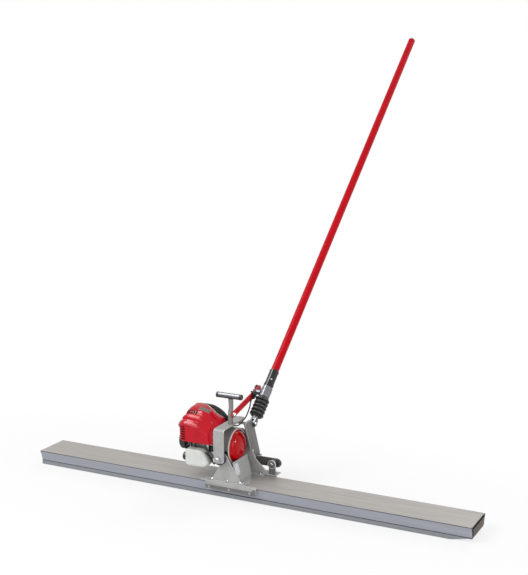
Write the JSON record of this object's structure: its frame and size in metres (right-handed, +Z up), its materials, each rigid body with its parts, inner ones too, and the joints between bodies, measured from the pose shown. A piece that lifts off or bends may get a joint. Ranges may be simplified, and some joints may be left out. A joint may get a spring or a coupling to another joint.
{
  "type": "vibrating concrete float",
  "caption": "Long hollow blade float with an engine-driven exciter on rubber mounts, a lifting handle and a long red pole that tilts the blade when it is twisted.",
  "frame": {"origin": "middle of the blade's sole, on the surface that it stands on", "axes": "+X along the blade, +Y back towards the pole and the operator, +Z up"},
  "size_m": [2, 2.0444, 1.8887],
  "materials": {
    "blade_aluminium": "extruded, satin",
    "grey_paint": "grey paint on steel plate, satin",
    "drum_paint": "grey paint on cast iron, satin",
    "zinc": "zinc plated, bright",
    "chrome": "polished",
    "steel": "machined",
    "cast_alloy": "die cast, matt",
    "red_cover": "moulded, glossy",
    "red_dome": "spun steel, gloss red paint",
    "red_bar": "gloss red paint on steel bar",
    "red_tube": "red powder coat on aluminium tube",
    "black_plastic": "moulded, fine grain",
    "black_rubber": "moulded, matt",
    "black_paint": "black paint on steel bar",
    "dark_plastic": "moulded, matt",
    "tank_plastic": "blow moulded, translucent cream"
  },
  "bodies": {
    "base": {"blade_profile": "blade_aluminium", "blade_end_cap_left": "dark_plastic", "blade_end_cap_right": "dark_plastic", "base_plate": "grey_paint", "front_rail": "grey_paint", "rear_rail": "grey_paint", "front_gusset": "grey_paint", "rear_gusset": "grey_paint", "exciter_housing": "drum_paint", "bearing_plate": "cast_alloy", "exciter_bearing_left": "steel", "exciter_bearing_right": "steel", "dome_cover": "red_dome", "hoop_frame": "grey_paint", "front_damper": "black_rubber", "rear_damper_left": "black_rubber", "rear_damper_right": "black_rubber", "front_damper_bolt": "zinc", "rear_damper_bolt_left": "zinc", "rear_damper_bolt_right": "zinc", "rear_crossbar": "black_paint", "pole_bracket": "grey_paint", "clevis_pin": "zinc", "handle_post": "grey_paint", "arm_bolt": "zinc", "handle_tube": "chrome", "handle_cap_left": "black_rubber", "handle_cap_right": "black_rubber", "crankcase": "cast_alloy", "engine_cylinder": "cast_alloy", "engine_shroud": "red_cover", "fan_case": "black_plastic", "engine_mount_plate": "grey_paint", "starter_housing": "black_plastic", "fuel_tank": "tank_plastic", "muffler": "steel", "carburettor": "cast_alloy", "air_cleaner": "black_plastic", "throttle_cable": "black_rubber"},
    "exciter": {"exciter_shaft": "steel", "eccentric_weight": "steel", "clutch_drum": "steel"},
    "crank": {"crankshaft": "steel", "flywheel_fan": "cast_alloy", "clutch_shoes": "steel"},
    "starter_reel": {"starter_pulley": "dark_plastic"},
    "starter_handle": {"starter_grip": "black_rubber"},
    "tank_cap": {"fuel_cap": "black_plastic"},
    "choke": {"choke_lever": "black_plastic"},
    "stop_button": {"stop_switch": "black_plastic"},
    "spindle": {"rod_end": "chrome", "bellows": "black_rubber"},
    "slide_collar": {"collar": "cast_alloy"},
    "pole": {"pole_sleeve": "black_plastic", "pole_tube": "red_tube", "pole_plug": "black_plastic"},
    "pole_button": {"snap_button": "zinc"},
    "arm": {"link_arm": "red_bar", "throttle_clamp": "black_plastic"},
    "throttle": {"throttle_lever": "cast_alloy"}
  },
  "joints": [
    {"name": "pole_tilt", "type": "hinge", "parent": "base", "child": "spindle", "pos_m": [0, 0.073, 0.284], "axis": [1, 0, 0], "range_deg": [-8, 8]},
    {"name": "collar_slide", "type": "slide", "parent": "spindle", "child": "slide_collar", "axis": [0, 0.7575, 0.6529], "range_m": [-0.0122, 0.0122], "deforming": ["bellows"]},
    {"name": "pole_turn", "type": "hinge", "parent": "slide_collar", "child": "pole", "pos_m": [0, 0.073, 0.284], "axis": [0, 0.7575, 0.6529], "range_deg": [-366, 366]},
    {"name": "arm_swing", "type": "hinge", "parent": "base", "child": "arm", "pos_m": [-0.0427, -0.0156, 0.3426], "axis": [1, 0, 0], "range_deg": [-6.9, 6.9], "deforming": ["throttle_cable"]},
    {"name": "exciter_spin", "type": "hinge", "parent": "base", "child": "exciter", "pos_m": [0, 0, 0.2035], "axis": [1, 0, 0], "continuous": true},
    {"name": "crank_spin", "type": "hinge", "parent": "base", "child": "crank", "pos_m": [0, 0, 0.2035], "axis": [1, 0, 0], "continuous": true},
    {"name": "starter_pull", "type": "slide", "parent": "base", "child": "starter_handle", "axis": [0, -0.4572, 0.8894], "range_m": [0, 0.6], "stiffness_N_per_m": 12, "springref_m": -0.35},
    {"name": "reel_turn", "type": "hinge", "parent": "base", "child": "starter_reel", "pos_m": [0, 0, 0.2035], "axis": [1, 0, 0], "range_deg": [-1, 1130]},
    {"name": "throttle_turn", "type": "hinge", "parent": "arm", "child": "throttle", "pos_m": [-0.028, 0.15134, 0.38928], "axis": [1, 0, 0], "range_deg": [-40, 10]},
    {"name": "cap_turn", "type": "hinge", "parent": "base", "child": "tank_cap", "pos_m": [-0.243, -0.0577, 0.1475], "axis": [-1, 0, 0], "range_deg": [0, 180]},
    {"name": "choke_turn", "type": "hinge", "parent": "base", "child": "choke", "pos_m": [-0.196, 0.1063, 0.2535], "axis": [1, 0, 0], "range_deg": [-60, 0]},
    {"name": "stop_slide", "type": "slide", "parent": "base", "child": "stop_button", "axis": [0, 0, 1], "range_m": [-0.004, 0]},
    {"name": "button_press", "type": "slide", "parent": "pole", "child": "pole_button", "axis": [-0.5342, 0.5519, -0.6403], "range_m": [0, 0.0035], "stiffness_N_per_m": 400, "springref_m": -0.002}
  ],
  "couplings": [
    {"joint": "collar_slide", "follows": "pole_tilt", "m_per_rad": 0.0865},
    {"joint": "pole_turn", "follows": "pole_tilt", "ratio": 45.291},
    {"joint": "arm_swing", "follows": "pole_tilt", "ratio": 0.8393},
    {"joint": "reel_turn", "follows": "starter_pull", "rad_per_m": 32.787}
  ]
}
